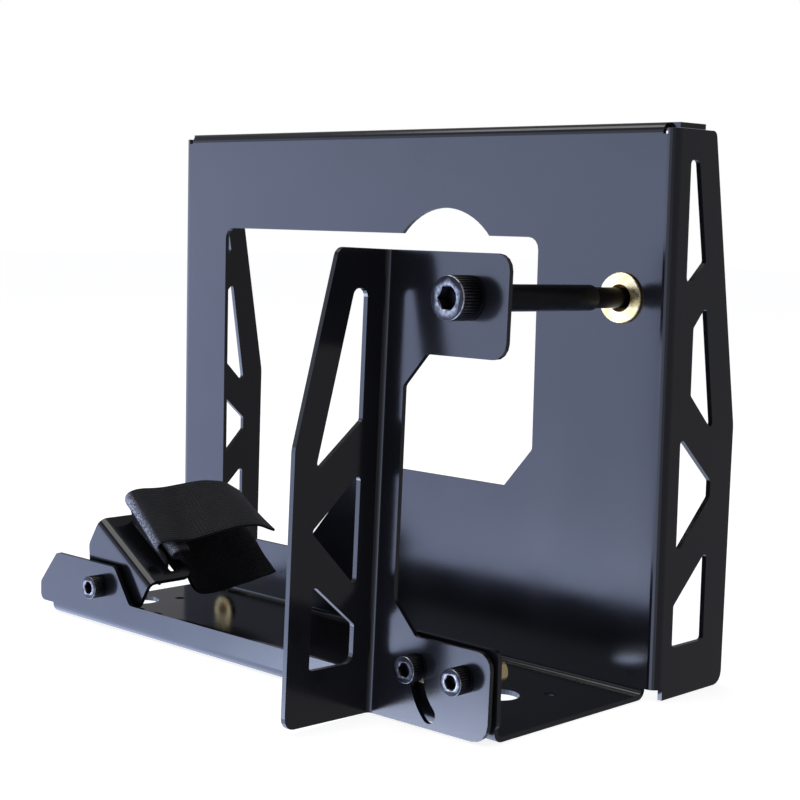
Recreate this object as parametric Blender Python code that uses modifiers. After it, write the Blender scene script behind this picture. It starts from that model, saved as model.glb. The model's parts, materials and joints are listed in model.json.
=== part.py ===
"""Folded sheet-steel equipment holder with a clamp arm and a hook-and-loop strap.

Metres, +Z up. The origin is the middle of the shelf's underside. +X runs to the
right along the panel and +Y runs to the back. Outlines are written in millimetres,
as (across, up, corner radius), in each sheet's own plane.
"""

from math import acos, atan2, ceil, cos, pi, radians, sin, sqrt, tan

import bmesh
import bpy
from mathutils import Matrix, Vector

MM = 0.001

# Sheet and folds
SHEET = 2.0
BEND_OUT = 4.0
BEND_MID = BEND_OUT - SHEET / 2
GAP = 0.3
ARC_STEP = radians(15)
# A fold is a hair thinner than the flats it runs into, so no two faces share a plane
FOLD_THICK = SHEET - 0.1
# Flats start this far past the end of a fold
FLAT_START = BEND_OUT + 0.5

# Main body: the panel's front face is at Y = PANEL_Y
PANEL_Y = 43.0
WIDTH = 290.0
HEIGHT = 221.3
TOP_FLANGE_Y = 22.6
GUSSET_TOP = 219.0
SHELF_LEFT = -129.8
SHELF_RIGHT = 138.8
FLANGE_Y = -86.3

# Fasteners: (thread, head diameter, head height, hexagon across flats, socket depth)
M6 = (6.0, 10.0, 6.0, 5.0, 3.0)
M10 = (10.0, 16.0, 10.0, 8.0, 5.0)
M6_LENGTH = 16.0
M10_LENGTH = 100.0
# Rivet nuts: (bore, flange diameter, barrel diameter, bulge diameter, length behind)
NUT_M6 = (6.6, 13.0, 9.0, 11.0, 13.0)
NUT_M10 = (10.7, 19.7, 13.0, 15.6, 17.0)
NUT_FLANGE = 1.2
HOLE_PLAY = 0.6

# Where the fasteners sit, as (x, z)
CLAMP_NUT = (122.4, 154.6)
PANEL_NUT = (-110.4, 12.1)
BRACKET_AXIS = (-94.0, 18.0)

# Clamp arm: its lower corner and how it leans and turns as fitted
ARM_ORIGIN = (80.3, -92.5, 0.5)
ARM_TURN = radians(1.6)
ARM_LEAN = radians(-1.8)
ARM_WIDTH = 59.0
ARM_HEIGHT = 171.4
ARM_CLAMP_HOLE = (40.8, 155.5)
ARM_LOCK = (24.6, 21.4)
ARM_PIVOT = (46.8, 21.2)
ARM_SLOT_RADIUS = 22.2
ARM_SLOT_SWEEP = radians(46)
ARM_CLAMP_CLEARANCE = 12.0
WING_DEPTH = 43.1

# Strap bracket, in the tab's own axes: u along the fold, n square to the wing
BRACKET_TURN = radians(32.2)
BRACKET_Y = -82.2
BRACKET_LEFT = -20.5
BRACKET_RIGHT = 22.5
WING_N = 21.2
WING_LENGTH = 24.0
SLOT_U = (-16.0, 18.0)
SLOT_V = (14.6, 18.4)

# Strap webbing
WEB = 1.6
WEB_WIDTH = 30.0
WEB_BEND = 3.5

BLACK_COAT = ("black_powder_coat", (0.035, 0.038, 0.047), 0.0, 0.38)
BLACK_OXIDE = ("black_oxide_steel", (0.05, 0.05, 0.055), 0.9, 0.42)
YELLOW_ZINC = ("yellow_zinc", (0.72, 0.62, 0.42), 1.0, 0.34)
WEBBING = ("black_webbing", (0.03, 0.03, 0.034), 0.0, 0.85)


def clear_scene():
    for obj in list(bpy.data.objects):
        bpy.data.objects.remove(obj, do_unlink=True)


def new_collection(name):
    collection = bpy.data.collections.new(name)
    bpy.context.scene.collection.children.link(collection)
    return collection


def make_material(spec):
    name, colour, metallic, roughness = spec
    material = bpy.data.materials.new(name)
    material.use_nodes = True
    shader = material.node_tree.nodes["Principled BSDF"]
    shader.inputs["Base Color"].default_value = (*colour, 1.0)
    shader.inputs["Metallic"].default_value = metallic
    shader.inputs["Roughness"].default_value = roughness
    return material


# ---- outlines -------------------------------------------------------------------


def arc(centre, radius, start, end, step=ARC_STEP):
    """Points on a circle from one angle to another, both ends included."""
    count = max(2, ceil(abs(end - start) / step) + 1)
    return [
        (
            centre[0] + radius * cos(start + (end - start) * i / (count - 1)),
            centre[1] + radius * sin(start + (end - start) * i / (count - 1)),
        )
        for i in range(count)
    ]


def rounded(corners):
    """An outline from (across, up, radius) corners, with each corner as an arc."""
    points = []
    for i, (x, y, radius) in enumerate(corners):
        corner = Vector((x, y))
        if not radius:
            points.append((x, y))
            continue
        to_last = (Vector(corners[i - 1][:2]) - corner).normalized()
        to_next = (Vector(corners[(i + 1) % len(corners)][:2]) - corner).normalized()
        half = acos(max(-1.0, min(1.0, to_last.dot(to_next)))) / 2
        centre = corner + (to_last + to_next).normalized() * (radius / sin(half))
        start = corner + to_last * (radius / tan(half)) - centre
        end = corner + to_next * (radius / tan(half)) - centre
        first = atan2(start.y, start.x)
        turn = (atan2(end.y, end.x) - first + pi) % (2 * pi) - pi
        points += arc(centre, radius, first, first + turn, radians(22.5))
    return points


def circle(centre, radius, count=32):
    return arc(centre, radius, 0, 2 * pi * (count - 1) / count, 2 * pi / count)


def folded_strip(path, bend=BEND_MID, thick=SHEET):
    """The outline of a sheet seen edge on, folded along a path of corner points."""
    stations = []
    for i, point in enumerate(path):
        here = Vector(point)
        before = (here - Vector(path[i - 1])).normalized() if i else None
        after = (Vector(path[i + 1]) - here).normalized() if i < len(path) - 1 else None
        if before is None or after is None:
            direction = after or before
            stations.append((here, Vector((-direction.y, direction.x))))
            continue
        turn = atan2(before.cross(after), before.dot(after))
        side = 1 if turn > 0 else -1
        normal = Vector((-before.y, before.x))
        start = here - before * (bend * tan(abs(turn) / 2))
        centre = start + normal * (bend * side)
        steps = ceil(abs(turn) / ARC_STEP)
        for k in range(steps + 1):
            spin = Matrix.Rotation(turn * k / steps, 2)
            stations.append((centre - (spin @ normal) * (bend * side), spin @ normal))
    left = [point + normal * thick / 2 for point, normal in stations]
    right = [point - normal * thick / 2 for point, normal in reversed(stations)]
    return [tuple(point) for point in left + right]


# ---- solids -----------------------------------------------------------------------

# An outline is drawn in its own plane and then laid into the model by one of these
FRONT = Matrix(((1, 0, 0, 0), (0, 0, -1, 0), (0, 1, 0, 0), (0, 0, 0, 1)))
SIDE = Matrix(((0, 0, 1, 0), (1, 0, 0, 0), (0, 1, 0, 0), (0, 0, 0, 1)))
PLAN = Matrix.Identity(4)


def slab(name, loops, low, high, view, collection):
    """Outlines filled in a plane and thickened from low to high along its normal.

    In FRONT the outline is (x, z) and the normal runs towards -Y, in SIDE it is
    (y, z) with the normal along +X, and in PLAN it is (x, y) with +Z.
    """
    curve = bpy.data.curves.new(name, "CURVE")
    curve.dimensions = "2D"
    curve.fill_mode = "BOTH"
    curve.extrude = (high - low) / 2 * MM
    for loop in loops:
        spline = curve.splines.new("POLY")
        spline.points.add(len(loop) - 1)
        for point, (x, y) in zip(spline.points, loop):
            point.co = (x * MM, y * MM, 0, 1)
        spline.use_cyclic_u = True
    drawn = bpy.data.objects.new(name, curve)
    drawn.matrix_world = view @ Matrix.Translation((0, 0, (low + high) / 2 * MM))
    collection.objects.link(drawn)
    bpy.context.view_layer.update()
    solid = mesh_from(drawn, name, collection)
    return solid


def mesh_from(drawn, name, collection):
    """Turns a curve object into a mesh object in the same place, caps welded."""
    evaluated = drawn.evaluated_get(bpy.context.evaluated_depsgraph_get())
    mesh = bpy.data.meshes.new_from_object(evaluated)
    mesh.name = name
    mesh.materials.clear()
    shape = bmesh.new()
    shape.from_mesh(mesh)
    bmesh.ops.remove_doubles(shape, verts=shape.verts, dist=0.00001)
    bmesh.ops.recalc_face_normals(shape, faces=shape.faces)
    shape.to_mesh(mesh)
    shape.free()
    mesh.transform(drawn.matrix_world)
    curve = drawn.data
    bpy.data.objects.remove(drawn)
    bpy.data.curves.remove(curve)
    obj = bpy.data.objects.new(name, mesh)
    collection.objects.link(obj)
    return obj


def turned(name, profile, collection, steps=32):
    """A solid of revolution about local Z from a (radius, height) profile."""
    mesh = bpy.data.meshes.new(name)
    shape = bmesh.new()
    points = [shape.verts.new((r * MM, 0, z * MM)) for r, z in profile]
    for a, b in zip(points, points[1:]):
        shape.edges.new((a, b))
    if profile[0][0] > 0:
        shape.edges.new((points[-1], points[0]))
    shape.to_mesh(mesh)
    shape.free()
    obj = bpy.data.objects.new(name, mesh)
    collection.objects.link(obj)
    screw = obj.modifiers.new("turn", "SCREW")
    screw.steps = steps
    screw.render_steps = steps
    screw.use_merge_vertices = True
    screw.merge_threshold = 0.00001
    return obj


def combine(obj, other, operation):
    """Joins, cuts or trims obj with other, which stays as a hidden guide."""
    other.hide_render = True
    other.display_type = "WIRE"
    boolean = obj.modifiers.new(other.name, "BOOLEAN")
    boolean.operation = operation
    boolean.solver = "EXACT"
    boolean.object = other


def finish(obj, material, parent):
    """Gives a part its material, smooth round faces and its parent."""
    obj.data.materials.clear()
    obj.data.materials.append(material)
    obj.parent = parent


def smooth(obj):
    """Bakes a part's shape and shades its round faces smooth."""
    evaluated = obj.evaluated_get(bpy.context.evaluated_depsgraph_get())
    mesh = bpy.data.meshes.new_from_object(evaluated)
    obj.modifiers.clear()
    obj.data = mesh
    mesh.shade_smooth()
    mesh.set_sharp_from_angle(angle=radians(35))


# ---- main body ----------------------------------------------------------------------

# Each gusset's outline in (back, up). The left one is a little deeper than the right, and
# its windows sit further back and lower.
GUSSET_FRONT = -12.0
RIGHT_GUSSET = [
    (GUSSET_FRONT, 0, 0),
    (44.9, 0, 5),
    (46.3, 104.5, 10),
    (26.5, GUSSET_TOP, 2.5),
    (GUSSET_FRONT, GUSSET_TOP, 0),
]
RIGHT_WINDOWS = [
    [(10.35, 207.5, 1.8), (16.0, 207.5, 1.8), (22.8, 169.1, 1.5), (10.35, 158.7, 2.2)],
    [(16.15, 143.8, 1.5), (24.1, 152.3, 1.2), (32.2, 102.3, 1.5), (16.15, 117.8, 1.5)],
    [(10.5, 102.5, 1.5), (31.85, 83.5, 1.2), (31.85, 77.0, 1.2), (10.5, 56.1, 1.5)],
    [(31.2, 56.4, 1.5), (10.2, 36.5, 1.5), (10.2, 20.0, 1.5), (31.2, 20.0, 1.5)],
]
LEFT_GUSSET = [
    (GUSSET_FRONT, 0, 0),
    (48.4, 0, 5),
    (49.8, 104.5, 10),
    (30.0, GUSSET_TOP, 2.5),
    (GUSSET_FRONT, GUSSET_TOP, 0),
]
LEFT_WINDOWS = [
    [(14.0, 203.5, 1.8), (21.6, 203.5, 1.8), (28.6, 165.1, 1.5), (14.0, 154.7, 2.2)],
    [(22.0, 140.3, 1.5), (29.9, 148.8, 1.2), (38.0, 97.6, 1.5), (22.0, 113.3, 1.5)],
    [(16.3, 99.5, 1.5), (37.8, 80.5, 1.2), (37.8, 74.5, 1.2), (16.3, 53.1, 1.5)],
    [(37.6, 56.0, 1.5), (16.0, 36.1, 1.5), (16.0, 20.0, 1.5), (37.6, 20.0, 1.5)],
]
# The gussets' blanks are cut out of a sheet this big, in (back, up)
BLANK = [(-30, -30), (90, -30), (90, 260), (-30, 260)]
# Relief where three folds would meet: how far back and how far from the middle it goes
RELIEF_Y = 4.8
RELIEF_X = 141.2
RELIEF_REACH = 30.0
PANEL_WINDOW = [
    (-113.4, 29.5, 5),
    (-56.5, 29.5, 2),
    (-16.3, 74.6, 2),
    (65.6, 74.6, 2),
    (80.2, 91.3, 2),
    (80.2, 176.8, 5),
    (-113.4, 176.8, 5),
]
PANEL_NOTCH = ((29.1, 154.7), 33.3)
FRONT_FLANGE = [
    (-139.6, FLAT_START, 3),
    (139.7, FLAT_START, 3),
    (139.7, 33.5, 3),
    (99.0, 33.5, 3),
    (86.0, 12.7, 3),
    (-72.7, 12.7, 3),
    (-83.7, 28.0, 3),
    (-127.1, 28.0, 3),
    (-139.6, 13.0, 3),
]
TOP_FLANGE = [
    (-143.5, 4.6, 0),
    (143.5, 4.6, 0),
    (143.5, TOP_FLANGE_Y, 2),
    (-143.5, TOP_FLANGE_Y, 2),
]
LARGE_SHELF_HOLES = [(102.2, -41.7), (-116.7, -45.6)]
SMALL_SHELF_HOLES = [(114.6, -26.0), (-108.3, -29.7)]
LARGE_HOLE_RADIUS = 8.0
SMALL_HOLE_RADIUS = 2.25


def main_body(parts, guides):
    """One folded sheet: panel, gussets, top flange, shelf and front flange."""
    edge = WIDTH / 2 - SHEET / 2
    mid = SHEET / 2
    wrap = folded_strip([(-edge, 60), (-edge, mid), (edge, mid), (edge, 60)])
    body = slab("main_body", [wrap], -5, HEIGHT + 5, PLAN, parts)
    inside = RELIEF_X - 0.1
    left = [BLANK, rounded(LEFT_GUSSET)]
    right = [BLANK, rounded(RIGHT_GUSSET)]
    around = [
        slab("left_gusset_outline", left, -WIDTH, -inside, SIDE, guides),
        slab("right_gusset_outline", right, inside, WIDTH, SIDE, guides),
    ]
    for name, windows, side in (("left", LEFT_WINDOWS, -1), ("right", RIGHT_WINDOWS, 1)):
        low, high = sorted((side * inside, side * WIDTH))
        loops = [rounded(window) for window in windows]
        around.append(slab(name + "_gusset_windows", loops, low, high, SIDE, guides))
    top = HEIGHT - FLAT_START
    reliefs = (
        ("low_relief", -RELIEF_REACH, FLAT_START, WIDTH),
        ("top_relief", top, HEIGHT + RELIEF_REACH, RELIEF_X),
    )
    for name, low, high, side in reliefs:
        corners = [(-RELIEF_REACH, low), (RELIEF_Y, low), (RELIEF_Y, high), (-RELIEF_REACH, high)]
        around.append(slab(name, [corners], -side, side, SIDE, guides))
    for waste in around:
        combine(body, waste, "DIFFERENCE")

    top_leg = 12.0
    top_path = [(7, HEIGHT - mid), (mid, HEIGHT - mid), (mid, HEIGHT - top_leg)]
    top_strip = [folded_strip(top_path, thick=FOLD_THICK)]
    top_fold = slab("top_fold", top_strip, -139, 139, SIDE, guides)
    top_low = HEIGHT - SHEET
    top_flange = slab("top_flange", [rounded(TOP_FLANGE)], top_low, HEIGHT, PLAN, guides)
    shelf_path = [(mid, 11), (mid, mid), (FLANGE_Y + mid, mid), (FLANGE_Y + mid, 9)]
    shelf_strip = [folded_strip(shelf_path, thick=FOLD_THICK)]
    shelf = slab("shelf_fold", shelf_strip, SHELF_LEFT, SHELF_RIGHT, SIDE, guides)
    flange_back = -FLANGE_Y - SHEET
    front = [rounded(FRONT_FLANGE)]
    flange = slab("front_flange", front, flange_back, -FLANGE_Y, FRONT, guides)
    for piece in (top_fold, top_flange, shelf, flange):
        combine(body, piece, "UNION")

    panel_loops = [rounded(PANEL_WINDOW)]
    window = slab("panel_window", panel_loops, -10, 10, FRONT, guides)
    notch = slab("panel_notch", [circle(*PANEL_NOTCH, 64)], -10, 10, FRONT, guides)
    panel_holes = [
        circle(CLAMP_NUT, NUT_M10[2] / 2 + GAP),
        circle(PANEL_NUT, NUT_M6[2] / 2 + GAP),
    ]
    nut_holes = slab("panel_nut_holes", panel_holes, -10, 10, FRONT, guides)
    shelf_holes = [circle(hole, LARGE_HOLE_RADIUS) for hole in LARGE_SHELF_HOLES]
    shelf_holes += [circle(hole, SMALL_HOLE_RADIUS, 16) for hole in SMALL_SHELF_HOLES]
    floor_holes = slab("shelf_holes", shelf_holes, -5, 8, PLAN, guides)
    ear_loops = [circle(place, NUT_M6[2] / 2 + GAP) for place in arm_nut_places()]
    ear_loops.append(circle(BRACKET_AXIS, M6[0] / 2 + HOLE_PLAY))
    ears = slab("ear_holes", ear_loops, -FLANGE_Y - 8, -FLANGE_Y + 8, FRONT, guides)
    for cutter in (window, notch, nut_holes, floor_holes, ears):
        combine(body, cutter, "DIFFERENCE")
    return body


# ---- clamp arm ----------------------------------------------------------------------

ARM_FACE = [
    (-1, -1, 0),
    (3, -1, 0),
    (3, 0, 0),
    (ARM_WIDTH, 0, 7),
    (ARM_WIDTH, 32.3, 6),
    (23.5, 32.3, 2),
    (12.1, 44.0, 2),
    (12.1, 122.5, 2),
    (22.5, 134.6, 2),
    (ARM_WIDTH, 134.6, 6),
    (ARM_WIDTH, ARM_HEIGHT, 6),
    (-1, ARM_HEIGHT, 0),
]
ARM_SIDE = [
    (-WING_DEPTH, 0, 4.5),
    (3, 0, 0),
    (3, ARM_HEIGHT + 1, 0),
    (-20, ARM_HEIGHT + 1, 0),
    (-20, ARM_HEIGHT, 0),
    (-25.3, ARM_HEIGHT, 4),
    (-WING_DEPTH, 100, 8),
]
ARM_WINDOWS = [
    [(-9.9, 157.0, 3), (-16.6, 157.0, 3), (-33.0, 91.0, 1.5), (-9.9, 109.3, 1.5)],
    [(-9.6, 90.5, 1.5), (-33.5, 70.2, 1.5), (-9.6, 48.0, 1.5)],
    [(-32.0, 51.5, 1.5), (-9.8, 34.3, 1.5), (-9.8, 20.0, 3.5), (-32.0, 20.0, 1.5)],
]


def arm_placement():
    turn = Matrix.Rotation(ARM_TURN, 4, "Z") @ Matrix.Rotation(ARM_LEAN, 4, "X")
    return Matrix.Translation(Vector(ARM_ORIGIN) * MM) @ turn


def arm_point(x, y, z):
    """A point of the arm, given in the arm's own axes, in the body's axes in mm."""
    return arm_placement() @ (Vector((x, y, z)) * MM) / MM


def arm_nut_places():
    places = [arm_point(x, 0, z) for x, z in (ARM_LOCK, ARM_PIVOT)]
    return [(place.x, place.z) for place in places]


def curved_slot():
    """The lock screw's slot: an arc about the pivot with round ends."""
    half = M6[0] / 2 + GAP
    end = pi + ARM_SLOT_SWEEP
    outer = arc(ARM_PIVOT, ARM_SLOT_RADIUS + half, pi, end, radians(6))
    inner = arc(ARM_PIVOT, ARM_SLOT_RADIUS - half, end, pi, radians(6))
    low = arc(ARM_PIVOT, ARM_SLOT_RADIUS, end, end)[0]
    high = arc(ARM_PIVOT, ARM_SLOT_RADIUS, pi, pi)[0]
    low_cap = arc(low, half, end, end + pi)[1:-1]
    high_cap = arc(high, half, 0, pi)[1:-1]
    return outer + low_cap + inner + high_cap


def clamp_arm(parts, guides):
    """One folded sheet: a face with an open C, and a side wing with windows."""
    mid = SHEET / 2
    fold = folded_strip([(mid, -60), (mid, mid), (ARM_WIDTH + 5, mid)])
    arm = slab("clamp_arm", [fold], 0, ARM_HEIGHT, PLAN, parts)
    face_loops = [
        rounded(ARM_FACE),
        circle(ARM_CLAMP_HOLE, ARM_CLAMP_CLEARANCE / 2),
        circle(ARM_PIVOT, M6[0] / 2 + GAP),
        curved_slot(),
    ]
    face = slab("arm_face", face_loops, -10, 100, FRONT, guides)
    side_loops = [rounded(ARM_SIDE)] + [rounded(window) for window in ARM_WINDOWS]
    side = slab("arm_side", side_loops, -10, 100, SIDE, guides)
    for outline in (face, side):
        combine(arm, outline, "INTERSECT")
    return arm


# ---- strap bracket --------------------------------------------------------------------

BRACKET_TAB = [
    (BRACKET_LEFT, 30, 0),
    (BRACKET_LEFT, 6.5, 4),
    (-9.5, -8.5, 8),
    (11.0, -8.5, 8),
    (BRACKET_RIGHT, 6.5, 4),
    (BRACKET_RIGHT, 30, 0),
]


def bracket_placement():
    """u runs along the fold, down to the right, and the wing faces up along n."""
    x, z = BRACKET_AXIS
    place = Matrix.Translation(Vector((x, BRACKET_Y, z)) * MM)
    return place @ Matrix.Rotation(BRACKET_TURN, 4, "Y")


def strap_bracket(parts, guides):
    """One folded sheet: a tab on the left ear's screw and a wing with a strap slot."""
    mid = SHEET / 2
    path = [(mid, -30), (mid, WING_N - mid), (WING_LENGTH, WING_N - mid)]
    fold = folded_strip(path)
    low = BRACKET_LEFT - 5
    high = BRACKET_RIGHT + 5
    bracket = slab("strap_bracket", [fold], low, high, SIDE, parts)
    hole = circle((0, 0), NUT_M6[2] / 2 + GAP)
    tab = slab("bracket_tab", [rounded(BRACKET_TAB), hole], -60, 10, FRONT, guides)
    corner = 4
    wing_loops = [
        rounded(
            [
                (BRACKET_LEFT, -2, 0),
                (BRACKET_RIGHT, -2, 0),
                (BRACKET_RIGHT, WING_LENGTH, corner),
                (BRACKET_LEFT, WING_LENGTH, corner),
            ]
        ),
        rounded([(u, v, 1) for u, v in slot_corners()]),
    ]
    wing = slab("bracket_wing", wing_loops, -30, 40, PLAN, guides)
    for outline in (tab, wing):
        combine(bracket, outline, "INTERSECT")
    return bracket


def slot_corners():
    (left, right), (near, far) = SLOT_U, SLOT_V
    return [(left, near), (right, near), (right, far), (left, far)]


# ---- fasteners ------------------------------------------------------------------------


def cap_screw(name, size, length, parts, guides):
    """A socket head cap screw: head up along local +Z, origin under its head."""
    thread, head, height, flats, depth = size
    edge = head * 0.06
    tip = thread * 0.1
    profile = [
        (0, height),
        (head / 2 - edge, height),
        (head / 2, height - edge),
        (head / 2, 0),
        (thread / 2, 0),
        (thread / 2, tip - length),
        (thread / 2 - tip, -length),
        (0, -length),
    ]
    screw = turned(name, profile, parts)
    hexagon = circle((0, 0), flats / sqrt(3), 6)
    socket_top = height + 1
    socket = slab(name + "_socket", [hexagon], height - depth, socket_top, PLAN, guides)
    socket.parent = screw
    combine(screw, socket, "DIFFERENCE")
    return screw


def rivet_nut(name, size, parts):
    """A set rivet nut: local Z = 0 is the sheet's front face and +Z its flange side."""
    bore, flange, barrel, bulge, length = size
    back = -SHEET - GAP
    profile = [
        (bore / 2, GAP + NUT_FLANGE),
        (flange / 2 - 0.3, GAP + NUT_FLANGE),
        (flange / 2, GAP + NUT_FLANGE - 0.3),
        (flange / 2, GAP),
        (barrel / 2, GAP),
        (barrel / 2, back),
        (bulge / 2, back),
        (bulge / 2, back - 1.8),
        (barrel / 2, back - 3),
        (barrel / 2, -length - SHEET),
        (bore / 2, -length - SHEET),
    ]
    return turned(name, profile, parts)


def facing_front(x, y, z):
    """Places a turned part with its local +Z pointing to the front, along -Y."""
    return Matrix.Translation(Vector((x, y, z)) * MM) @ Matrix.Rotation(pi / 2, 4, "X")


def clamp_axis():
    """From the nut's middle to the arm's hole: the long screw leans a little."""
    nut = Vector((CLAMP_NUT[0], 6.0, CLAMP_NUT[1]))
    hole = arm_point(ARM_CLAMP_HOLE[0], 0, ARM_CLAMP_HOLE[1])
    return nut, (hole - nut).normalized(), hole


# ---- strap ------------------------------------------------------------------------------

# Routes of the webbing in the bracket's own (v, n) plane, v to the back, n up
STRAP_UPPER = [(12.6, 23.2), (12.6, 32.5), (45, 35), (66, 34)]
STRAP_LOWER = [(16.5, 29.5), (16.5, 12.0), (48, 7), (68, 9)]


def webbing(name, path, parts):
    """A run of webbing seen edge on along a route, as wide as the strap."""
    low = (SLOT_U[0] + SLOT_U[1]) / 2 - WEB_WIDTH / 2
    outline = folded_strip(path, WEB_BEND, WEB)
    return slab(name, [outline], low, low + WEB_WIDTH, SIDE, parts)


# ---- assembly ---------------------------------------------------------------------------


def build():
    clear_scene()
    parts = new_collection("equipment_holder")
    guides = new_collection("cutters")
    guides.hide_render = True
    coat = make_material(BLACK_COAT)
    oxide = make_material(BLACK_OXIDE)
    zinc = make_material(YELLOW_ZINC)
    fabric = make_material(WEBBING)

    datum = bpy.data.objects.new("holder_datum", None)
    parts.objects.link(datum)
    bracket_pivot = bpy.data.objects.new("bracket_pivot", None)
    parts.objects.link(bracket_pivot)

    body = main_body(parts, guides)
    arm = clamp_arm(parts, guides)
    bracket = strap_bracket(parts, guides)
    straps = [
        webbing("strap_upper", STRAP_UPPER, parts),
        webbing("strap_lower", STRAP_LOWER, parts),
    ]

    clamp = cap_screw("clamp_screw", M10, M10_LENGTH, parts, guides)
    nut_centre, outwards, hole = clamp_axis()
    lean = outwards.to_track_quat("Z", "X").to_matrix().to_4x4()
    clamp.matrix_world = Matrix.Translation((hole + outwards * 2 * GAP) * MM) @ lean

    clamp_nut = rivet_nut("clamp_rivet_nut", NUT_M10, parts)
    clamp_nut.matrix_world = facing_front(CLAMP_NUT[0], 0, CLAMP_NUT[1])
    spare_nut = rivet_nut("panel_rivet_nut", NUT_M6, parts)
    spare_nut.matrix_world = facing_front(PANEL_NUT[0], 0, PANEL_NUT[1])
    nuts = [clamp_nut, spare_nut]
    screws = [clamp]
    for kind, (x, z) in (("lock", ARM_LOCK), ("pivot", ARM_PIVOT)):
        place = arm_point(x, 0, z)
        nut = rivet_nut("arm_" + kind + "_rivet_nut", NUT_M6, parts)
        nut.matrix_world = facing_front(place.x, FLANGE_Y, place.z)
        nuts.append(nut)
        screw = cap_screw("arm_" + kind + "_screw", M6, M6_LENGTH, parts, guides)
        screw.matrix_world = facing_front(place.x, place.y - 2 * GAP, place.z)
        screws.append(screw)

    x, z = BRACKET_AXIS
    bracket_screw = cap_screw("bracket_screw", M6, M6_LENGTH, parts, guides)
    bracket_screw.matrix_world = facing_front(x, FLANGE_Y - GAP, z)
    screws.append(bracket_screw)
    bracket_nut = rivet_nut("bracket_rivet_nut", NUT_M6, parts)
    bracket_nut.matrix_world = facing_front(0, 0, 0)

    bpy.context.view_layer.update()
    for obj in [body, arm, bracket, *straps, *screws, *nuts, bracket_nut]:
        smooth(obj)
    for obj in (body, arm):
        finish(obj, coat, datum)
    finish(bracket, coat, bracket_pivot)
    for obj in screws:
        finish(obj, oxide, datum)
    for obj in nuts:
        finish(obj, zinc, datum)
    finish(bracket_nut, zinc, bracket_pivot)
    for obj in straps:
        finish(obj, fabric, bracket_pivot)

    arm.matrix_local = arm_placement()
    bracket_pivot.parent = datum
    bracket_pivot.matrix_local = bracket_placement()
    datum.location.y = PANEL_Y * MM


build()
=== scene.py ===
"""Looks of the folded-steel equipment holder: coated sheets, screws, nuts and webbing."""

import json
from math import atan2, cos, hypot, pi, radians, sin, tau

import bpy
from mathutils import Matrix, Vector


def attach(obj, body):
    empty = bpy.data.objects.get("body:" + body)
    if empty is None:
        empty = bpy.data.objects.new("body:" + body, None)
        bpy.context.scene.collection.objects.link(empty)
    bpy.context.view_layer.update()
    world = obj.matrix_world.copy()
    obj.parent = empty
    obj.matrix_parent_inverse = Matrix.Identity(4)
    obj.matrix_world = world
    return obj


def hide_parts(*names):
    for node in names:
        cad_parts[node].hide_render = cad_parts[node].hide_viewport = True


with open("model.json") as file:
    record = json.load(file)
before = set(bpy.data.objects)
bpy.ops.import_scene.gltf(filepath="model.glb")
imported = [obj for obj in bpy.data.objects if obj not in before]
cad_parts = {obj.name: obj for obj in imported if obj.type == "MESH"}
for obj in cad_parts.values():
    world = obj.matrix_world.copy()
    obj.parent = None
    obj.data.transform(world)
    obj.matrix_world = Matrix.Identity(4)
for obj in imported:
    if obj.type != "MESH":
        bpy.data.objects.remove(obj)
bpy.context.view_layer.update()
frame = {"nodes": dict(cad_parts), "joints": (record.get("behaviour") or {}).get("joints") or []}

MM = 0.001
nodes = frame["nodes"]


# ---- camera -------------------------------------------------------------------------
# Low at the right front corner, looking across the holder to its left back corner. The
# long lens keeps the two gussets close to parallel.

CAMERA_PLACE = (0.5236, -0.4909, 0.1824)
CAMERA_YAW = radians(44.16)
CAMERA_DIP = radians(5.96)
CAMERA_ROLL = radians(-1.32)
LENS_MM = 77.53
SENSOR_MM = 36.0

camera_data = bpy.data.cameras.new("camera")
camera_data.lens = LENS_MM
camera_data.sensor_width = SENSOR_MM
camera = bpy.data.objects.new("camera", camera_data)
bpy.context.scene.collection.objects.link(camera)
turn = Matrix.Rotation(CAMERA_YAW, 4, "Z") @ Matrix.Rotation(pi / 2 - CAMERA_DIP, 4, "X")
roll = Matrix.Rotation(-CAMERA_ROLL, 4, "Z")
camera.matrix_world = Matrix.Translation(CAMERA_PLACE) @ turn @ roll
bpy.context.scene.camera = camera


# ---- studio -------------------------------------------------------------------------
# A white table in a white surround, with one soft light above. A cool bright area low on
# the left front gives the coat its blue-grey sheen, and the coat doesn't mirror the table.

FLOOR_SIZE = 12.0
FLOOR_DROP = 0.0002
FLOOR_ROUGHNESS = 0.6
FLOOR_COLOUR = (0.36, 0.36, 0.36, 1.0)
BACKDROP = (1.0, 1.0, 1.0, 1.0)
FLOOR_GLOW = 0.86
SURROUND_PEAK = 22.0
GLOW_HEADING = radians(41)
GLOW_DIP = radians(18.5)
# The glow is wider than it is high
GLOW_FLATNESS = 2.0
OVERHEAD_PLACE = (-0.3, -0.3, 1.6)
OVERHEAD_SIZE = 1.4
OVERHEAD_POWER = 16.0
# How bright the surround is, by the cosine of the angle from the glow's middle
GLOW_STEPS = [
    (0.0, (0.0115, 0.0115, 0.0125)),
    (0.57, (0.042, 0.046, 0.058)),
    (0.79, (0.105, 0.122, 0.180)),
    (0.955, (0.092, 0.106, 0.160)),
    (0.9816, (0.110, 0.130, 0.195)),
    (0.9936, (0.240, 0.285, 0.410)),
    (0.9981, (0.700, 0.790, 1.000)),
    (1.0, (1.000, 1.080, 1.300)),
]

bpy.context.scene.view_settings.view_transform = "Standard"


def new_material(name):
    material = bpy.data.materials.new(name)
    material.use_nodes = True
    tree = material.node_tree
    return material, tree, tree.nodes["Principled BSDF"]


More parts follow.
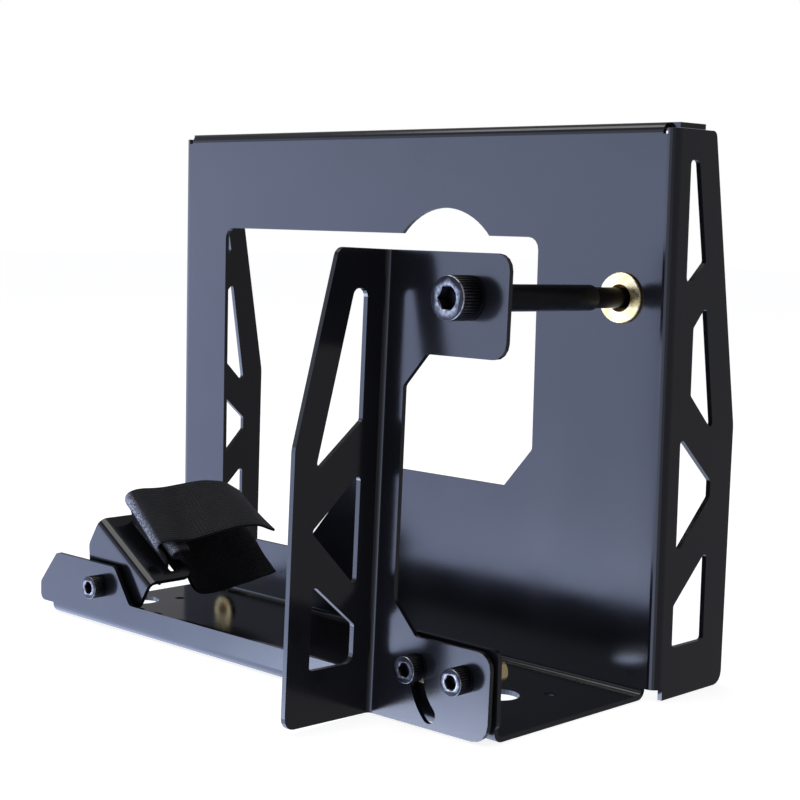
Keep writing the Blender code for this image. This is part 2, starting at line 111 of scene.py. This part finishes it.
def ramp(tree, factor, stops):
    """A colour ramp: stops are (position, grey or colour)."""
    node = tree.nodes.new("ShaderNodeValToRGB")
    elements = node.color_ramp.elements
    while len(elements) < len(stops):
        elements.new(0.5)
    for element, (position, value) in zip(elements, stops):
        element.position = position
        colour = value if hasattr(value, "__len__") else (value, value, value)
        element.color = (*colour, 1.0)
    tree.links.new(factor, node.inputs["Fac"])
    return node.outputs["Color"]


bpy.ops.mesh.primitive_plane_add(size=FLOOR_SIZE, location=(0, 0, -FLOOR_DROP))
floor = bpy.context.object
floor.name = "table_top"
floor.visible_glossy = False
floor.visible_shadow = False
paint, _, white = new_material("table_white")
white.inputs["Base Color"].default_value = FLOOR_COLOUR
white.inputs["Roughness"].default_value = FLOOR_ROUGHNESS
white.inputs["Emission Color"].default_value = BACKDROP
white.inputs["Emission Strength"].default_value = FLOOR_GLOW
floor.data.materials.append(paint)

world = bpy.data.worlds.new("surround")
world.use_nodes = True
sky = world.node_tree
glow = sky.nodes["Background"]
glow.inputs["Strength"].default_value = SURROUND_PEAK
heading = sky.nodes.new("ShaderNodeTexCoord").outputs["Generated"]
flatter = sky.nodes.new("ShaderNodeVectorMath")
flatter.operation = "MULTIPLY"
flatter.inputs[1].default_value = (1, 1, GLOW_FLATNESS)
unit = sky.nodes.new("ShaderNodeVectorMath")
unit.operation = "NORMALIZE"
facing = sky.nodes.new("ShaderNodeVectorMath")
facing.operation = "DOT_PRODUCT"
level = cos(GLOW_DIP)
glow_middle = Vector(
    (-sin(GLOW_HEADING) * level, -cos(GLOW_HEADING) * level, -sin(GLOW_DIP) * GLOW_FLATNESS)
)
facing.inputs[1].default_value = glow_middle.normalized()
sky.links.new(heading, flatter.inputs[0])
sky.links.new(flatter.outputs[0], unit.inputs[0])
sky.links.new(unit.outputs[0], facing.inputs[0])
sky.links.new(ramp(sky, facing.outputs["Value"], GLOW_STEPS), glow.inputs["Color"])
backdrop = sky.nodes.new("ShaderNodeBackground")
backdrop.inputs["Color"].default_value = BACKDROP
seen = sky.nodes.new("ShaderNodeLightPath")
blend = sky.nodes.new("ShaderNodeMixShader")
sky.links.new(seen.outputs["Is Camera Ray"], blend.inputs[0])
sky.links.new(glow.outputs[0], blend.inputs[1])
sky.links.new(backdrop.outputs[0], blend.inputs[2])
sky.links.new(blend.outputs[0], sky.nodes["World Output"].inputs["Surface"])
bpy.context.scene.world = world

overhead = bpy.data.lights.new("overhead", "AREA")
overhead.shape = "RECTANGLE"
overhead.size = OVERHEAD_SIZE
overhead.size_y = OVERHEAD_SIZE
overhead.energy = OVERHEAD_POWER
lamp = bpy.data.objects.new("overhead", overhead)
lamp.location = OVERHEAD_PLACE
lamp.rotation_euler = (-Vector(OVERHEAD_PLACE)).to_track_quat("-Z", "Y").to_euler()
bpy.context.scene.collection.objects.link(lamp)


# ---- black powder coat --------------------------------------------------------------
# The three folded sheets: 2 mm steel with a satin black coat that has fine orange peel
# and slightly uneven tone and gloss. Their cut edges are rounded over by the coat.


def noise(tree, vector, scale, detail=3.0, rough=0.55):
    node = tree.nodes.new("ShaderNodeTexNoise")
    node.inputs["Scale"].default_value = scale
    node.inputs["Detail"].default_value = detail
    node.inputs["Roughness"].default_value = rough
    tree.links.new(vector, node.inputs["Vector"])
    return node.outputs["Fac"]


def mix(tree, factor, first, second):
    """Blends two colours, each a socket or a plain colour, by a socket's value."""
    node = tree.nodes.new("ShaderNodeMix")
    node.data_type = "RGBA"
    tree.links.new(factor, node.inputs[0])
    for value, socket in ((first, 6), (second, 7)):
        if hasattr(value, "is_output"):
            tree.links.new(value, node.inputs[socket])
        else:
            node.inputs[socket].default_value = (*value, 1.0)
    return node.outputs[2]


def bump(tree, height, strength, distance, under=None):
    node = tree.nodes.new("ShaderNodeBump")
    node.inputs["Strength"].default_value = strength
    node.inputs["Distance"].default_value = distance
    tree.links.new(height, node.inputs["Height"])
    if under:
        tree.links.new(under, node.inputs["Normal"])
    return node.outputs["Normal"]


def object_coords(tree):
    return tree.nodes.new("ShaderNodeTexCoord").outputs["Object"]


def powder_coat():
    material, tree, shader = new_material("black_powder_coat")
    where = object_coords(tree)
    mottle = noise(tree, where, 14.0, 2.0)
    grain = noise(tree, where, 900.0, 2.0)
    peel = noise(tree, where, 2600.0, 2.0)
    tone = ramp(tree, mottle, [(0.3, (0.0035, 0.0036, 0.0046)), (0.7, (0.005, 0.005, 0.0062))])
    fleck = ramp(tree, grain, [(0.72, 0.0), (0.80, 1.0)])
    colour = mix(tree, fleck, tone, (0.012, 0.0125, 0.015))
    tree.links.new(colour, shader.inputs["Base Color"])
    gloss = ramp(tree, noise(tree, where, 40.0, 4.0), [(0.3, 0.13), (0.7, 0.18)])
    tree.links.new(gloss, shader.inputs["Roughness"])
    tree.links.new(bump(tree, peel, 0.10, 0.00006), shader.inputs["Normal"])
    shader.inputs["Specular IOR Level"].default_value = 0.5
    return material


def soften_edges(obj, width):
    """Rounds a node's sharp edges by a fraction of a millimetre, on top of the mesh."""
    bevel = obj.modifiers.new("edges", "BEVEL")
    bevel.width = width
    bevel.segments = 2
    bevel.limit_method = "ANGLE"
    bevel.angle_limit = radians(50)


coat = powder_coat()
EDGE_ROUND = 0.35 * MM
for name in ("main_body", "clamp_arm", "strap_bracket"):
    sheet = nodes[name]
    sheet.data.materials.clear()
    sheet.data.materials.append(coat)
    soften_edges(sheet, EDGE_ROUND)


# ---- cap screws ---------------------------------------------------------------------
# Black-oxide steel cap screws with knurled heads and hexagon sockets: one M10 that draws
# the arm in and three M6, all screwed into rivet nuts. The oxide is rubbed bright on the
# rims and sockets, and a little on the knurl's tips.

OXIDE_DARK = (0.018, 0.018, 0.020)
OXIDE_WORN = (0.80, 0.80, 0.84)
ROUND_SIDES = 48
THREAD_STEPS = 32


def oxide_steel():
    material, tree, shader = new_material("black_oxide_steel")
    where = object_coords(tree)
    wear_and_painted_highlight = tree.nodes.new("ShaderNodeAttribute")
    wear_and_painted_highlight.attribute_name = "wear"
    patch = ramp(tree, noise(tree, where, 700.0, 4.0), [(0.35, 0.25), (0.62, 1.0)])
    amount = tree.nodes.new("ShaderNodeMath")
    amount.operation = "MULTIPLY"
    tree.links.new(wear_and_painted_highlight.outputs["Fac"], amount.inputs[0])
    tree.links.new(patch, amount.inputs[1])
    tree.links.new(mix(tree, amount.outputs[0], OXIDE_DARK, OXIDE_WORN), shader.inputs["Base Color"])
    gloss = ramp(tree, noise(tree, where, 300.0, 3.0), [(0.3, 0.30), (0.7, 0.42)])
    tree.links.new(gloss, shader.inputs["Roughness"])
    tree.links.new(bump(tree, noise(tree, where, 1800.0), 0.25, 0.00005), shader.inputs["Normal"])
    shader.inputs["Metallic"].default_value = 1.0
    return material


oxide = oxide_steel()


def deselect_all():
    if bpy.context.object and bpy.context.object.mode != "OBJECT":
        bpy.ops.object.mode_set(mode="OBJECT")
    bpy.ops.object.select_all(action="DESELECT")


def pick(obj, kind, test):
    """Opens obj for editing with only the faces or edges that pass the test selected.

    The test gets the middle of each, and for a face its normal or for an edge its run.
    """
    deselect_all()
    bpy.context.view_layer.objects.active = obj
    obj.select_set(True)
    mesh = obj.data
    for group in (mesh.vertices, mesh.edges, mesh.polygons):
        for item in group:
            item.select = False
    chosen = mesh.polygons if kind == "FACE" else mesh.edges
    for item in chosen:
        if kind == "FACE":
            item.select = test(item.center, item.normal)
        else:
            ends = [mesh.vertices[k].co for k in item.vertices]
            item.select = test((ends[0] + ends[1]) / 2, ends[1] - ends[0])
    bpy.ops.object.mode_set(mode="EDIT")
    bpy.ops.mesh.select_mode(type=kind)


def leave_edit():
    bpy.ops.object.mode_set(mode="OBJECT")


def apply_modifiers(obj):
    deselect_all()
    bpy.context.view_layer.objects.active = obj
    obj.select_set(True)
    for modifier in list(obj.modifiers):
        bpy.ops.object.modifier_apply(modifier=modifier.name)


def cut_with(obj, cutter):
    """Cuts obj with cutter, which is then removed."""
    boolean = obj.modifiers.new("cut", "BOOLEAN")
    boolean.operation = "DIFFERENCE"
    boolean.object = cutter
    apply_modifiers(obj)
    bpy.data.objects.remove(cutter, do_unlink=True)


def join(pieces, name):
    deselect_all()
    for piece in pieces:
        piece.select_set(True)
    bpy.context.view_layer.objects.active = pieces[0]
    bpy.ops.object.join()
    pieces[0].name = name
    return pieces[0]


def knurled_head(radius, height, ridges, flats, depth):
    """A socket head: a cylinder with a rounded rim, grooved sides and a hexagon socket."""
    bpy.ops.mesh.primitive_cylinder_add(
        vertices=ridges * 2, radius=radius, depth=height, location=(0, 0, height / 2)
    )
    head = bpy.context.object
    bpy.ops.object.transform_apply(location=True)
    pick(head, "EDGE", lambda place, run: place.z > height - 1e-6)
    bpy.ops.mesh.bevel(offset=radius * 0.09, segments=3, affect="EDGES")
    leave_edit()

    def groove(place, normal):
        turn = (atan2(place.y, place.x) / tau * ridges * 2) % 2
        return abs(normal.z) < 0.1 and turn < 1

    pick(head, "FACE", groove)
    bpy.ops.mesh.inset(thickness=radius * 0.012, use_individual=True)
    bpy.ops.transform.shrink_fatten(value=-radius * 0.022)
    leave_edit()
    bpy.ops.mesh.primitive_cylinder_add(
        vertices=6, radius=flats / 3**0.5, depth=depth * 2, location=(0, 0, height)
    )
    cut_with(head, bpy.context.object)
    bpy.ops.mesh.primitive_cone_add(
        vertices=ROUND_SIDES,
        radius1=flats * 0.42,
        radius2=flats * 0.66,
        depth=flats * 0.24,
        location=(0, 0, height - flats * 0.03),
    )
    cut_with(head, bpy.context.object)
    return head


def shank(radius, pitch, length, threaded):
    """A plain shank whose last stretch is a core with a wound thread."""
    plain = length - threaded
    bpy.ops.mesh.primitive_cylinder_add(
        vertices=ROUND_SIDES, radius=radius, depth=plain, location=(0, 0, -plain / 2)
    )
    bar = bpy.context.object
    bpy.ops.object.transform_apply(location=True)
    pick(bar, "EDGE", lambda place, run: place.z < -plain + 1e-6)
    bpy.ops.mesh.bevel(offset=radius * 0.06, segments=2, affect="EDGES")
    leave_edit()
    core_radius = radius - pitch * 0.61
    bpy.ops.mesh.primitive_cylinder_add(
        vertices=ROUND_SIDES,
        radius=core_radius,
        depth=threaded,
        location=(0, 0, -plain - threaded / 2),
    )
    core = bpy.context.object
    bpy.ops.object.transform_apply(location=True)
    ridge = pitch * 0.56
    bpy.ops.mesh.primitive_circle_add(
        vertices=3, radius=ridge, rotation=(pi / 2, 0, 0), location=(core_radius, 0, -plain - pitch)
    )
    crest = bpy.context.object
    bpy.ops.object.transform_apply(location=True, rotation=True)
    for corner in crest.data.vertices:
        lift = corner.co.z + plain + pitch
        outer = abs(lift) < ridge * 0.2
        corner.co.x = radius - pitch * 0.02 if outer else core_radius - pitch * 0.05
        corner.co.z = -plain - pitch + (0 if outer else (0.45 if lift > 0 else -0.45) * pitch)
    winding = crest.modifiers.new("thread", "SCREW")
    winding.angle = tau
    winding.screw_offset = -pitch
    winding.iterations = int(threaded / pitch) - 1
    winding.steps = THREAD_STEPS
    winding.render_steps = THREAD_STEPS
    winding.use_merge_vertices = True
    winding.merge_threshold = 0.000001
    apply_modifiers(crest)
    return [bar, core, crest]


def add_wear(obj, height, radius):
    """Marks how bare each point is: the rim, round the socket and the knurl's tips."""
    mesh = obj.data
    wear_and_painted_highlight = mesh.attributes.new("wear", "FLOAT", "POINT")
    for point, value in zip(mesh.vertices, wear_and_painted_highlight.data):
        out = hypot(point.co.x, point.co.y)
        on_face = point.co.z > height * 0.93
        on_rim = on_face and out > radius * 0.955
        socket = on_face and out < radius * 0.62
        tip = point.co.z > height * 0.1 and out > radius * 0.995
        value.value = 0.9 if on_rim else 0.35 if socket else 0.15 if tip else 0.0


def screw_place(node, axis):
    """The middle of the front of a screw's head and its outward axis, as a matrix."""
    reach = max(vertex.co.dot(axis) for vertex in nodes[node].data.vertices)
    front = [v.co for v in nodes[node].data.vertices if v.co.dot(axis) > reach - 0.0002]
    middle = sum(front, Vector()) / len(front)
    return Matrix.Translation(middle) @ axis.to_track_quat("Z", "X").to_matrix().to_4x4()


def cap_screw(node, body, axis, sizes):
    radius, height, flats, depth, thread, pitch, length, threaded, ridges = sizes
    head = knurled_head(radius, height, ridges, flats, depth)
    screw = join([head, *shank(thread / 2, pitch, length, threaded)], node + "_turned")
    add_wear(screw, height, radius)
    place = screw_place(node, axis) @ Matrix.Translation((0, 0, -height))
    screw.data.transform(place)
    screw.data.materials.clear()
    screw.data.materials.append(oxide)
    deselect_all()
    screw.select_set(True)
    bpy.context.view_layer.objects.active = screw
    bpy.ops.object.shade_smooth_by_angle(angle=radians(28))
    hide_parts(node)
    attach(screw, body)


# Head radius and height, hexagon across flats, socket depth, thread across, pitch,
# length, threaded length and the number of knurl ridges
M10_SIZES = (8 * MM, 10 * MM, 8 * MM, 5 * MM, 9.9 * MM, 1.5 * MM, 100 * MM, 32 * MM, 44)
M6_SIZES = (5 * MM, 6 * MM, 5 * MM, 3 * MM, 5.9 * MM, 1.0 * MM, 16 * MM, 14 * MM, 32)
FORWARD = Vector((0, -1, 0))
clamp_axis = Vector(next(j["axis"] for j in frame["joints"] if j["name"] == "clamp_travel"))
cap_screw("clamp_screw", "clamp", clamp_axis.normalized(), M10_SIZES)
for name in ("arm_lock_screw", "arm_pivot_screw", "bracket_screw"):
    cap_screw(name, "frame", FORWARD, M6_SIZES)


# ---- rivet nuts ---------------------------------------------------------------------
# Turned steel nuts set in the panel, the right ear and the bracket's tab, plated in
# yellow-passivated zinc whose tint and gloss drift. Their shapes are the nodes' own.


def yellow_zinc():
    material, tree, shader = new_material("yellow_zinc")
    where = object_coords(tree)
    tint = ramp(
        tree,
        noise(tree, where, 220.0, 3.0),
        [(0.3, (0.62, 0.43, 0.16)), (0.5, (0.74, 0.58, 0.28)), (0.72, (0.70, 0.62, 0.42))],
    )
    tree.links.new(tint, shader.inputs["Base Color"])
    gloss = ramp(tree, noise(tree, where, 500.0, 3.0), [(0.3, 0.22), (0.7, 0.36)])
    tree.links.new(gloss, shader.inputs["Roughness"])
    tree.links.new(bump(tree, noise(tree, where, 1500.0), 0.2, 0.00004), shader.inputs["Normal"])
    shader.inputs["Metallic"].default_value = 1.0
    return material


zinc = yellow_zinc()
NUT_EDGE_ROUND = 0.2 * MM
for name, node in nodes.items():
    if name.endswith("rivet_nut"):
        node.data.materials.clear()
        node.data.materials.append(zinc)
        soften_edges(node, NUT_EDGE_ROUND)


# ---- strap --------------------------------------------------------------------------
# Black 30 mm hook-and-loop webbing in two runs. The free end comes up through the
# bracket's slot, folds over and lies back. The slack run under it curls round at the slot
# and hangs, twisted. Both carry a painted light blue-grey highlight where they fold, standing in for
# the cool light's sheen off the hooks.

WEB_THICK = 1.3 * MM
WEB_WIDTH = 30 * MM
WEB_GRID = (120, 14)
BRACKET_TURN = radians(32.2)
# Stations along each run in the bracket's own axes: across, back, up, tilt in degrees
UPPER_RUN = [
    (-1, 16.5, 9.0, 0),
    (-1, 16.5, 16.0, 0),
    (-1.5, 16.3, 21.0, 0),
    (-4.0, 14.6, 25.4, 4),
    (-6.8, 11.6, 28.4, 8),
    (-6.6, 12.4, 32.0, 10),
    (-5.8, 17.0, 33.2, 11),
    (-5.2, 30.0, 33.0, 12),
    (-4.4, 44.0, 35.8, 8),
    (-3.4, 56.0, 36.8, 4),
    (-1.8, 64.0, 36.0, 1),
    (0.6, 71.0, 33.4, -2),
]
LOWER_RUN = [
    (-2.0, 26.0, 29.6, 8),
    (-2.0, 19.2, 29.9, 7),
    (-1.6, 16.4, 28.0, 5),
    (-1.0, 17.6, 25.4, 3),
    (0.0, 22.0, 24.6, 3),
    (1.0, 27.0, 21.0, 14),
    (3.0, 34.0, 14.6, 30),
    (5.0, 44.0, 10.8, 44),
    (6.6, 55.0, 12.6, 50),
    (7.8, 63.0, 16.0, 42),
    (9.0, 68.0, 18.6, 26),
    (11.0, 72.0, 20.0, 8),
]


def webbing_material():
    material, tree, shader = new_material("black_webbing")
    uv = tree.nodes.new("ShaderNodeUVMap").outputs["UV"]
    where = object_coords(tree)

    def ribs(direction, scale):
        wave = tree.nodes.new("ShaderNodeTexWave")
        wave.wave_type = "BANDS"
        wave.bands_direction = direction
        wave.inputs["Scale"].default_value = scale
        wave.inputs["Distortion"].default_value = 0.6
        wave.inputs["Detail"].default_value = 1.0
        tree.links.new(uv, wave.inputs["Vector"])
        return wave.outputs["Fac"]

    weave = tree.nodes.new("ShaderNodeMath")
    weave.operation = "MULTIPLY"
    tree.links.new(ribs("X", 320.0), weave.inputs[0])
    tree.links.new(ribs("Y", 260.0), weave.inputs[1])
    fuzz = noise(tree, where, 1600.0, 4.0)
    patch = ramp(tree, noise(tree, where, 90.0, 3.0), [(0.3, 0.0), (0.7, 0.5)])
    tone = ramp(tree, weave.outputs[0], [(0.0, (0.005, 0.005, 0.006)), (1.0, (0.013, 0.013, 0.016))])
    faded = mix(tree, patch, tone, (0.018, 0.018, 0.022))
    # Painted highlight: around each fold the colour is lifted to a light blue-grey, standing in for
    # the cool light's sheen off the hooks.
    fold = tree.nodes.new("ShaderNodeAttribute")
    fold.attribute_name = "painted_fold_highlight"
    wear_and_painted_highlight = tree.nodes.new("ShaderNodeMath")
    wear_and_painted_highlight.operation = "MULTIPLY"
    tree.links.new(fold.outputs["Fac"], wear_and_painted_highlight.inputs[0])
    tree.links.new(ramp(tree, fuzz, [(0.42, 0.15), (0.6, 1.0)]), wear_and_painted_highlight.inputs[1])
    tree.links.new(mix(tree, wear_and_painted_highlight.outputs[0], faded, (0.42, 0.44, 0.54)), shader.inputs["Base Color"])
    rough = ramp(tree, fuzz, [(0.3, 0.62), (0.7, 0.85)])
    tree.links.new(rough, shader.inputs["Roughness"])
    woven = bump(tree, weave.outputs[0], 0.7, 0.0004)
    tree.links.new(bump(tree, fuzz, 0.35, 0.0003, woven), shader.inputs["Normal"])
    shader.inputs["Sheen Weight"].default_value = 0.06
    shader.inputs["Specular IOR Level"].default_value = 0.3
    shader.inputs["Sheen Roughness"].default_value = 0.4
    shader.inputs["Sheen Tint"].default_value = (0.75, 0.80, 0.95, 1.0)
    return material


webbing = webbing_material()
swivel = next(j for j in frame["joints"] if j["name"] == "bracket_swivel")
bracket_axes = Matrix.Translation(Vector(swivel["pos_m"])) @ Matrix.Rotation(BRACKET_TURN, 4, "Y")


def between(run, at):
    """A smooth curve through a run's stations; at counts stations from the first."""
    index = min(int(at), len(run) - 2)
    part = at - index
    ends = [run[max(0, min(len(run) - 1, index + k))] for k in (-1, 0, 1, 2)]
    before, first, last, after = (Vector(end) for end in ends)
    return (
        first
        + (last - before) * 0.5 * part
        + (2 * before - 5 * first + 4 * last - after) * 0.5 * part**2
        + (3 * (first - last) + after - before) * 0.5 * part**3
    )


def run_length(run, steps=400):
    points = [between(run, (len(run) - 1) * k / steps).to_3d() for k in range(steps + 1)]
    return sum((b - a).length for a, b in zip(points, points[1:])) * MM


def ribbon(name, run, node, fold_at):
    """A flat grid laid along a run, bowed a little across, with its own thickness.

    A light blue-grey highlight is painted into the colour around the station fold_at.
    """
    length = run_length(run)
    along, across = WEB_GRID
    bpy.ops.mesh.primitive_grid_add(x_subdivisions=along, y_subdivisions=across, size=2)
    band = bpy.context.object
    band.name = name
    layer = band.data.uv_layers[0]
    for loop in layer.data:
        loop.uv = (loop.uv[0] * length, loop.uv[1] * WEB_WIDTH)
    for vertex in band.data.vertices:
        at = (vertex.co.x + 1) / 2 * (len(run) - 1)
        side = vertex.co.y
        station = between(run, at)
        ahead = between(run, min(at + 0.05, len(run) - 1)) - between(run, max(at - 0.05, 0))
        forward = Vector((0, ahead[1], ahead[2])).normalized()
        tilt = radians(station[3])
        width = Vector((cos(tilt), 0, -sin(tilt)))
        lift = width.cross(forward).normalized()
        edge = 0.35 * side**2 + 0.12 * sin(at * 5.0 + side * 3.0)
        place = station.to_3d() + width * side * WEB_WIDTH / MM / 2 + lift * edge
        vertex.co = bracket_axes @ (place * MM)
    # Painted highlight mask: strongest at the fold station and fading to nothing 0.8 stations either
    # side.
    painted_fold_highlight = band.data.attributes.new("painted_fold_highlight", "FLOAT", "POINT")
    for vertex, mark in zip(band.data.vertices, painted_fold_highlight.data):
        share = vertex.index % (along + 1) / along
        near_fold = abs(share * (len(run) - 1) - fold_at)
        mark.value = max(0.0, 1.0 - near_fold / 0.8) ** 0.8
    thick = band.modifiers.new("thick", "SOLIDIFY")
    thick.thickness = WEB_THICK
    thick.offset = 0
    apply_modifiers(band)
    round_off = band.modifiers.new("soft_edges", "BEVEL")
    round_off.width = WEB_THICK * 0.3
    round_off.segments = 2
    round_off.limit_method = "ANGLE"
    round_off.angle_limit = radians(60)
    apply_modifiers(band)
    bpy.ops.object.shade_smooth_by_angle(angle=radians(50))
    band.data.materials.append(webbing)
    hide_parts(node)
    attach(band, "strap_swivel")


ribbon("strap_free_end", UPPER_RUN, "strap_upper", 4.2)
ribbon("strap_slack_run", LOWER_RUN, "strap_lower", 1.6)
